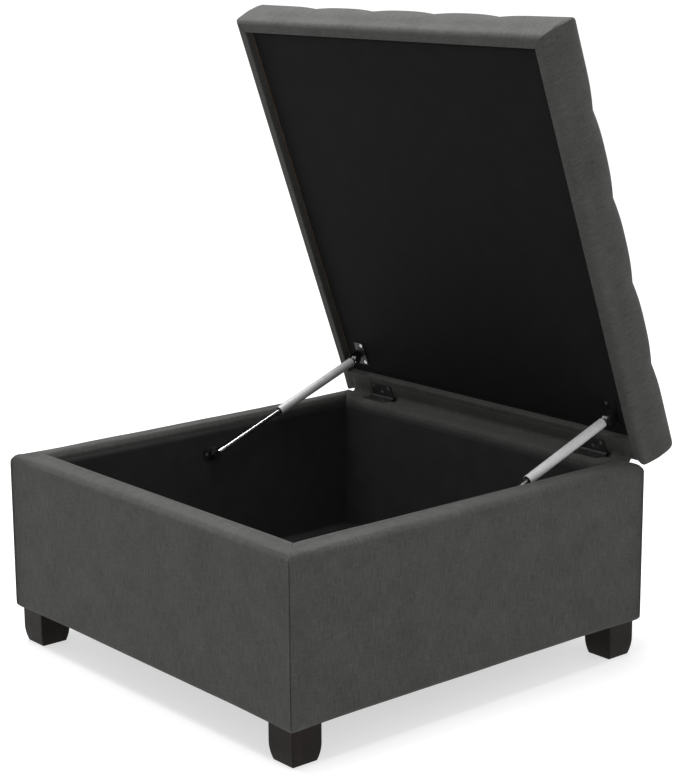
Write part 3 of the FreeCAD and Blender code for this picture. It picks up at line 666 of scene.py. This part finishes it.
def tuft_lines():
    """Columns of the lid's top, close together beside the sewn channels and at the ends."""
    steps = np.array([0, 1.5, 3.5, 6.5, 10.5, 16, 23, 31, 40, 50, 61, 72]) * MM
    end = END_STEPS[-1]
    full = HALF - LID_EDGE
    lines = {0.0, TUFT_PITCH}
    for channel in CHANNELS[2:]:
        lines |= {round(channel + s, 6) for s in steps} | {round(channel - s, 6) for s in steps}
    last = max(lines)
    lines |= set(np.linspace(last, full - end, 6)[1:])
    lines |= {full - step for step in END_STEPS[:-1]}
    right = sorted(line for line in lines if line > 1e-9)
    return np.array([-line for line in reversed(right)] + [0.0] + right)


def channel_profile(distance):
    """1 on a sewn channel, falling to 0 half way to the next one."""
    share = np.clip(np.abs(distance) / (TUFT_PITCH / 2), 0, 1)
    return (1 - np.sin(share * math.pi / 2)) ** 1.5


def nearest(values, places):
    """Distance of each value from the nearest of the places."""
    return np.min(np.abs(values[..., None] - np.array(places)), -1)


def tuft_depth(x, y):
    """How deep the tufting pulls the top in at a point, measured from the middle of the lid."""
    across = nearest(x, CHANNELS)
    along = nearest(y, CHANNELS)
    channels = CHANNEL_DEPTH * (channel_profile(across) ** 4 + channel_profile(along) ** 4) ** 0.25
    from_button = np.hypot(across, along)
    pit = (TUFT_DEPTH + CROWN - CHANNEL_DEPTH) * np.exp(-(from_button / (20 * MM)) ** 2)
    angle = np.arctan2(along, across)
    folds = 0.9 * MM * np.cos(8 * angle) * np.exp(-((from_button - 24 * MM) / (12 * MM)) ** 2)
    return channels + pit - folds


def lower_radius(side, x):
    """Radius of the lid's lower edge: soft, but crisp where its back corners meet the box's rim."""
    if side == "back":
        soft = HINGE_EDGE
        crisp = np.clip((np.abs(x) - FLAP_HIGH.x) / (14 * MM) + 1, 0, 1)
    else:
        soft = SOFT_EDGE
        towards_hinge = {"front": np.full_like(x, -HALF), "right": x, "left": -x}[side]
        crisp = np.clip((towards_hinge - (HALF - 90 * MM)) / (70 * MM), 0, 1)
    crisp = crisp * crisp * (3 - 2 * crisp)
    return soft + (CRISP_EDGE - soft) * crisp


def lid_section(side, radius):
    """The lid's section from the timber inside, round the border below and up over the top edge.

    Also gives its normals, none for the hidden rows, and how many rows are hidden."""
    border = LID_HINGE_BORDER if side == "back" else LID_BORDER
    fullness = LOWER_FULLNESS
    if side == "back":
        fullness *= (HINGE_EDGE - radius) / (HINGE_EDGE - CRISP_EDGE)
    gap = FABRIC - 0.4 * MM
    inside = np.array([
        (gap, LID_BOARD_TOP),
        (gap, LID_Z + gap + 3 * MM),
        (gap + 3 * MM, LID_Z + gap),
        (border - gap, LID_Z + gap),
        (border - gap, RECESS_TOP),
    ])
    outside, normals = rounded_path([
        (border, RECESS_TOP, 0),
        (border, LID_Z - fullness, 2 * MM),
        (-fullness, LID_Z - fullness, radius),
        (-fullness, LID_TOP + CROWN, LID_EDGE),
        (LID_EDGE + 1e-6, LID_TOP + CROWN, 0),
    ], [2, 4, 8, 1], [2, 5, 8])
    share = np.clip((outside[:, 1] - LID_Z) / (LID_TOP + CROWN - LID_Z), 0, 1)
    on_side = outside[:, 0] < LID_EDGE
    outside[:, 0] -= SIDE_BULGE * np.sin(share * math.pi) ** 0.8 * on_side
    hidden = np.zeros_like(inside)
    return np.concatenate([inside, outside[:-1]]), np.concatenate([hidden, normals[:-1]]), len(inside)


def lid_side(side, lines):
    """One side of the lid as front-side points, with their normals and lengths along the section.

    Each end meets the section of the next side, so that the corner seams close."""
    full = HALF - LID_EDGE
    end = END_STEPS[-1]
    before = SIDES[(SIDES.index(side) - 1) % 4]
    after = SIDES[(SIDES.index(side) + 1) % 4]
    radii = lower_radius(side, lines)
    columns = [lid_section(side, radius) for radius in radii]
    section = np.array([column[0] for column in columns])
    normals = np.array([np.pad(column[1], ((0, 0), (1, 0))) for column in columns])
    corner_before = lid_section(before, radii[0])[0]
    corner_after = lid_section(after, radii[-1])[0]
    x = np.zeros(section.shape[:2])
    for k in range(section.shape[1]):
        left = spread(lines, HALF - corner_before[k, 0], full, LID_FIXED, end)
        right = spread(lines, HALF - corner_after[k, 0], full, LID_FIXED, end)
        x[:, k] = np.where(lines < 0, left, right)
    points = np.stack([x, CENTRE_Y - HALF + section[..., 0], section[..., 1]], -1)
    return points, normals, lengths_along(section[len(lines) // 2])


def lid_cushion():
    """The whole padded cover of the lid: tufted top, sides sewn at the corners, border underneath."""
    lines = tuft_lines()
    full = HALF - LID_EDGE
    count = len(lines)
    around = 4 * (count - 1)
    sides = {side: lid_side(side, lines) for side in SIDES}
    rows = sides["front"][0].shape[1]
    hidden = lid_section("front", SOFT_EDGE)[2]
    arc = sides["front"][2]
    edge_depth = tuft_depth(lines, np.full(count, full))
    seam = seam_dip(full - np.abs(lines))
    points, weave = [], []
    for k in range(rows):
        fade = np.clip(1 - (arc[-1] - arc[k]) / (75 * MM), 0, 1) ** 1.5
        dip = (edge_depth * fade + seam) * (k >= hidden)
        for side in SIDES:
            flat, normals, _ = sides[side]
            row = flat[:, k] - normals[:, k] * dip[:, None]
            points.append(turned(row, side)[:-1])
            weave.append(woven(row[:, 0], arc[k], side)[:-1])
    points = np.concatenate(points)
    weave = np.concatenate(weave)
    faces = ring_faces(rows, around)
    ends = ((0, lambda x, y: LID_BOARD_TOP, -1),
            ((rows - 1) * around, lambda x, y: LID_TOP + CROWN - tuft_depth(x, y), 1))
    for boundary, height, way in ends:
        reach = lines if way > 0 else lines * ((HALF - FABRIC) / full)
        inner, inner_weave = square_points(reach, height, arc[-1] + full)
        faces += square_faces(square_index(count, boundary, len(points))[:, ::way])
        points = np.concatenate([points, inner])
        weave = np.concatenate([weave, inner_weave])
    piece = new_object("lid_cushion", points, faces, weave)
    held = held_cushion_points(points, full)
    held[:hidden * around] = True
    inflated(piece, np.flatnonzero(held), 7 * MM, pressure=4.0)
    return subdivided(piece)


def held_cushion_points(points, full):
    """Points that the lid's timber, its channels and its buttons hold while the padding swells."""
    x, y = points[:, 0], points[:, 1] - CENTRE_Y
    on_top = points[:, 2] > LID_TOP - 30 * MM
    inside = (np.abs(x) < full + 12 * MM) & (np.abs(y) < full + 12 * MM)
    on_channel = (nearest(x, CHANNELS) < 0.6 * MM) | (nearest(y, CHANNELS) < 0.6 * MM)
    on_button = np.hypot(nearest(x, CHANNELS), nearest(y, CHANNELS)) < 10 * MM
    low = points[:, 2] < LID_BOARD_TOP - 4 * MM
    return low | (on_top & inside & (on_channel | on_button))


def lathe(profile, segments, pleats, pleat_depth):
    """Closed turned form about Z from (radius, z, pleat share) points, from its top to its foot."""
    points = [(0, 0, profile[0][1])]
    faces = []
    for radius, z, share in profile[1:]:
        for j in range(segments):
            angle = 2 * math.pi * j / segments
            r = radius - pleat_depth * share * (0.5 + 0.5 * math.cos(pleats * angle))
            points.append((r * math.cos(angle), r * math.sin(angle), z))
    for j in range(segments):
        faces.append((0, 1 + j, 1 + (j + 1) % segments))
    for i in range(len(profile) - 2):
        for j in range(segments):
            a = 1 + i * segments + j
            b = 1 + i * segments + (j + 1) % segments
            faces.append((a, a + segments, b + segments, b))
    last = 1 + (len(profile) - 2) * segments
    faces.append([last + j for j in reversed(range(segments))])
    return np.array(points), faces


def tuft_buttons():
    """Cloth-covered buttons, gathered under their edge, one in each pit of the tufting."""
    radius = 9 * MM
    height = 5 * MM
    profile = [(0, height, 0)]
    for k in range(1, 8):
        angle = math.pi / 2 * k / 7
        z = height * (0.25 + 0.75 * math.cos(angle))
        profile.append((radius * math.sin(angle), z, max(0, k - 5) / 2))
    profile += [(radius * 0.96, 0.2 * height, 1), (radius * 0.75, -0.1 * height, 1)]
    shape, shape_faces = lathe(profile, segments=40, pleats=20, pleat_depth=0.35 * MM)
    points, faces = [], []
    for x in CHANNELS:
        for y in CHANNELS:
            start = len(points) * len(shape)
            points.append(shape + (x, y + CENTRE_Y, LID_TOP - TUFT_DEPTH))
            faces += [[i + start for i in face] for face in shape_faces]
    points = np.concatenate(points)
    return new_object("fabric_buttons", points, faces, points * (1, 1, 0))


# ---------------------------------------------------------------- linings and flap
LINER_TURN = 30 * MM        # how far the liner's walls turn in over its floor


def liner_row(side, lines, inset, z, normal, slack):
    """One side's part of a ring of the storage liner, waving inwards between its corners."""
    full = HALF - WALL - LINER_TURN
    x = spread(lines, HALF - inset, full, 0, END_STEPS[-1])
    row = np.stack([x, np.full(len(x), CENTRE_Y - HALF + inset), np.full(len(x), z)], 1)
    from_corner = np.clip((full - np.abs(lines)) / (40 * MM), 0, 1)
    waves = ripple(row * (1, 1, 0.25), 0.16, SIDES.index(side) + 3) * 1.2 * MM * slack * from_corner
    return row - np.array([0, *normal]) * np.abs(waves)[:, None]


def storage_liner():
    """Black sewn liner of the storage space, a little slack between the places where it is fixed."""
    section, normals = rounded_path([
        (WALL - 1 * MM, FOLD_Z + 8 * MM, 0),
        (WALL, LINING_FLOOR_Z, 5 * MM),
        (WALL + LINER_TURN, LINING_FLOOR_Z, 0),
    ], [24, 3], [4])
    lines = wall_columns(HALF - WALL - LINER_TURN)
    count = len(lines)
    around = 4 * (count - 1)
    arc = lengths_along(section)
    points, weave = [], []
    for k, (inset, z) in enumerate(section):
        slack = np.clip(arc[k] / (60 * MM), 0, 1) * np.clip((arc[-1] - arc[k]) / (60 * MM), 0, 1)
        for side in SIDES:
            row = liner_row(side, lines, inset, z, normals[k], slack)
            points.append(turned(row, side)[:-1])
            weave.append(woven(row[:, 0], arc[k], side)[:-1])
    points = np.concatenate(points)
    faces = [(a, d, c, b) for a, b, c, d in ring_faces(len(section), around)]
    floor, floor_weave = square_points(lines, lambda x, y: LINING_FLOOR_Z, 9)
    faces += square_faces(square_index(count, (len(section) - 1) * around, len(points)))
    piece = new_object("storage_liner", np.concatenate([points, floor]), faces,
                       np.concatenate([*weave, floor_weave]))
    return thickened(piece, 1.2 * MM)


def stretched_sheet(name, low, high, z, slack, seed):
    """A flat stretched sheet with a faint slack ripple, from its lowest to its highest corner."""
    count = 60
    columns = np.linspace(low.x, high.x, count)
    rows = np.linspace(low.y, high.y, count)
    y, x = np.meshgrid(rows, columns, indexing="ij")
    points = np.stack([x, y, np.full_like(x, z)], -1).reshape(-1, 3)
    edge = np.minimum.reduce([x - low.x, high.x - x, y - low.y, high.y - y]).ravel()
    points[:, 2] += ripple(points, 0.12, seed) * slack * np.clip(edge / (80 * MM), 0, 1)
    return new_object(name, points, grid_faces(count, count), points * (1, 1, 0))


FLAP_RADIUS = 5.2 * MM      # of the fold behind the hinge pins
FLAP_LIFT = 0.6 * MM        # the flap above the rim, and below the lid
FLAP_SINK = 1.1 * MM        # how far its edges sink into the padding
FLAP_VALLEY = 14 * MM       # length of the soft fold between the hinges
FLAP_STEPS = 16             # rows of each half, up to the fold


def smooth_step(share):
    """Share from 0 to 1, eased at both ends."""
    share = min(1, max(0, share))
    return share * share * (3 - 2 * share)


def flap_profile(width, valley):
    """Section of the flap, lid open: from the rim, behind the pin or round a valley, to the lid."""
    pin = np.array([HINGE_POINT.y, HINGE_POINT.z])
    along_lid = np.array([-math.cos(OPEN_ANGLE), math.sin(OPEN_ANGLE)])
    into_lid = np.array([math.sin(OPEN_ANGLE), math.cos(OPEN_ANGLE)])
    stop = valley / math.tan((math.pi - OPEN_ANGLE) / 2)
    lower, upper = [], []
    for share in np.linspace(0, 1, FLAP_STEPS):
        out = width + (stop - width) * share
        sunk = FLAP_SINK * smooth_step((out - width + 5 * MM) / (5 * MM))
        turn_in = 0 if valley else smooth_step(1 - out / (15 * MM))
        rim_lift = (RIM_Z + FLAP_LIFT - pin[1]) * (1 - turn_in) - FLAP_RADIUS * turn_in - sunk
        lid_lift = (LID_Z - FLAP_LIFT - pin[1]) * (1 - turn_in) + FLAP_RADIUS * turn_in + sunk
        lower.append(pin + (-out, rim_lift))
        upper.append(pin + along_lid * out + into_lid * lid_lift)
    if valley:
        first, last = lower[-1], upper[-1]
        corner = pin + (0, RIM_Z + FLAP_LIFT - pin[1])
        fold = [(1 - t) ** 2 * first + 2 * t * (1 - t) * corner + t * t * last
                for t in np.linspace(0, 1, 10)[1:-1]]
    else:
        first, last = -math.pi / 2, math.atan2(into_lid[1], into_lid[0])
        fold = [pin + FLAP_RADIUS * np.array([math.cos(angle), math.sin(angle)])
                for angle in np.linspace(first, last, 10)[1:-1]]
    return np.array([*lower, *fold, *reversed(upper)])


def hinge_flap():
    """Strip of upholstery fabric that closes the gap along the hinges, folded round the pins.

    Also gives the size that the strip is cut to."""
    width = HINGE_POINT.y - FLAP_LOW.y
    folded = flap_profile(width, 0)
    valley = flap_profile(width, FLAP_VALLEY)
    hinge_low, hinge_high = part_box("hinge_base_leaf_right")
    hinge_x = (hinge_low.x + hinge_high.x) / 2
    hinge_half = (hinge_high.x - hinge_low.x) / 2
    arc = lengths_along(folded)
    columns = np.linspace(FLAP_LOW.x - 3 * MM, FLAP_HIGH.x + 3 * MM, 120)
    points, weave = [], []
    for k in range(len(folded)):
        for x in columns:
            share = smooth_step((abs(abs(x) - hinge_x) - hinge_half - 3 * MM) / (12 * MM))
            points.append((x, *(folded[k] * (1 - share) + valley[k] * share)))
            weave.append((x, arc[k], 0))
    points = np.array(points)
    middle = np.repeat(np.exp(-((arc - arc[-1] / 2) / (10 * MM)) ** 2), len(columns))
    points[:, 1] += ripple(points * (1, 0.3, 0.3), 0.09, 31) * 0.6 * MM * middle
    piece = new_object("hinge_flap", points, grid_faces(len(folded), len(columns)), weave)
    thickened(piece, 0.8 * MM)
    return piece, (columns[-1] - columns[0], arc[-1])


# ---------------------------------------------------------------- the soft pieces in their places
def add_walls(materials):
    """The four padded sides of the box."""
    for number, side in enumerate(SIDES):
        wall = dressed(wall_cover(side, number + 1), "upholstery", materials)
        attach(wall, "base")
        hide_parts(f"base_cover_{side}", "base_foam")


def add_cushion(materials):
    """The tufted lid with its buttons."""
    cushion = opened(dressed(lid_cushion(), "upholstery", materials))
    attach(cushion, "lid")
    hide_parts("lid_cover", "lid_foam")
    buttons = opened(dressed(tuft_buttons(), "upholstery", materials))
    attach(buttons, "lid")
    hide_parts("tuft_buttons")


def add_storage_liner(materials):
    """The liner of the storage space, cut as a cross: the floor with the four walls beside it."""
    # The liner takes the lighter copy of the lining cloth: painted light against the shade inside the box.
    liner = dressed(storage_liner(), "black_lining", materials, "box_lining_painted_light")
    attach(liner, "base")
    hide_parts("storage_lining")


def add_lid_liner(materials):
    """The black panel in the recess under the lid."""
    low, high = LID_LINING_LOW, LID_LINING_HIGH
    panel = stretched_sheet("lid_liner", low, high, low.z + 0.2 * MM, 0.25 * MM, 41)
    panel.data.flip_normals()
    thickened(panel, 1.1 * MM)
    opened(dressed(panel, "black_lining", materials))
    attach(panel, "lid")
    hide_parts("lid_lining")


def add_underside_cloth(materials):
    """The dust cover under the box."""
    low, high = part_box("dust_cover")
    dust = stretched_sheet("underside_cloth", low, high, low.z + 0.9 * MM, 0.6 * MM, 43)
    dust.data.flip_normals()
    thickened(dust, 0.8 * MM)
    dressed(dust, "black_lining", materials)
    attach(dust, "base")
    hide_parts("dust_cover")


def add_hinge_flap(materials):
    """The fabric strip along the hinges, folded between box and lid as the lid stands open."""
    flap, cut = hinge_flap()
    dressed(flap, "upholstery", materials)
    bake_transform(flap)
    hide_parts("hinge_flap_lower", "hinge_flap_upper")


def dress_cad_nodes(materials):
    """CAD nodes shown as they are get the material of their own slot. The brackets get a darker copy of the
    chrome, painted shade in place of the bright reflections of the floor and lights.
    """
    slots = {part["node"]: part["material_slot"] for part in frame["record"]["subparts"]}
    for name, node in frame["nodes"].items():
        if not node.hide_render:
            look = "bracket_chrome_painted_dark" if "bracket" in name else slots[name]
            node.data.materials.clear()
            node.data.materials.append(materials[look])


# ---------------------------------------------------------------- stage
def make_floor():
    """Pale studio floor, large enough to fill the picture, with a glow that turns white far away."""
    nodes = Nodes("studio_floor")
    place = nodes.add("TexCoord").outputs["Object"]
    tone = nodes.noise(place, 3.0, 3.0)
    distance = nodes.add("VectorMath", {"Vector": place}, operation="LENGTH").outputs["Value"]
    shade(nodes, {
        "Base Color": nodes.ramp(tone, (0.3, (0.44, 0.44, 0.44)), (0.7, (0.47, 0.47, 0.47))),
        "Roughness": 0.7,
        "Emission Color": (1, 1, 1),
        "Emission Strength": nodes.remap(distance, 0.8, 4.0, 0.60, 0.76),
    })
    nodes.material.cycles.emission_sampling = "NONE"
    reach = 80.0
    z = -0.3 * MM
    corners = [(-reach, -reach, z), (reach, -reach, z), (reach, reach, z), (-reach, reach, z)]
    floor = new_object("studio_floor", corners, [(0, 1, 2, 3)])
    floor.data.materials.append(nodes.material)


def make_world():
    """Even white light from all round."""
    world = bpy.data.worlds.new("studio")
    bpy.context.scene.world = world
    world.use_nodes = True
    sky = world.node_tree.nodes["Background"]
    sky.inputs["Color"].default_value = (1, 1, 1, 1)
    sky.inputs["Strength"].default_value = 0.6


def add_light(name, place, aim, size, power):
    """Round area light at a place, aimed at a point. size is its diameter, power is in watts."""
    lamp = bpy.data.lights.new(name, "AREA")
    lamp.shape = "DISK"
    lamp.size = size
    lamp.energy = power
    light = bpy.data.objects.new(name, lamp)
    light.location = place
    light.rotation_mode = "QUATERNION"
    light.rotation_quaternion = (Vector(aim) - Vector(place)).to_track_quat("-Z", "Y")
    bpy.context.scene.collection.objects.link(light)


def make_lights():
    """A large softbox overhead, and two weak fills for the front and right faces."""
    middle = (0, CENTRE_Y, 0.4)
    add_light("overhead_softbox", (-0.4, 0.0, 3.4), middle, 2.6, 200)
    add_light("front_fill", (0.4, -4.0, 1.8), middle, 2.2, 6)
    add_light("right_fill", (2.7, 0.3, 1.7), middle, 1.6, 9)


def make_camera():
    """Long lens from the front right, a little above the lid, with a slight roll."""
    place = (2.7292, -2.3042, 1.3084)
    azimuth = math.radians(49.84)
    elevation = math.radians(13.0)
    roll = math.radians(-0.36)
    camera = bpy.data.cameras.new("camera")
    camera.sensor_width = 36.0
    camera.lens = 92.73
    view = bpy.data.objects.new("camera", camera)
    back = Vector((math.sin(azimuth) * math.cos(elevation), -math.cos(azimuth) * math.cos(elevation),
                   math.sin(elevation)))
    turn = (-back).to_track_quat("-Z", "Y").to_matrix().to_4x4()
    view.matrix_world = Matrix.Translation(place) @ turn @ Matrix.Rotation(roll, 4, "Z")
    bpy.context.scene.collection.objects.link(view)
    bpy.context.scene.camera = view


bpy.context.scene.view_settings.view_transform = "Standard"
looks = make_materials()
add_walls(looks)
add_cushion(looks)
add_storage_liner(looks)
add_lid_liner(looks)
add_underside_cloth(looks)
add_hinge_flap(looks)
dress_cad_nodes(looks)
make_floor()
make_world()
make_lights()
make_camera()
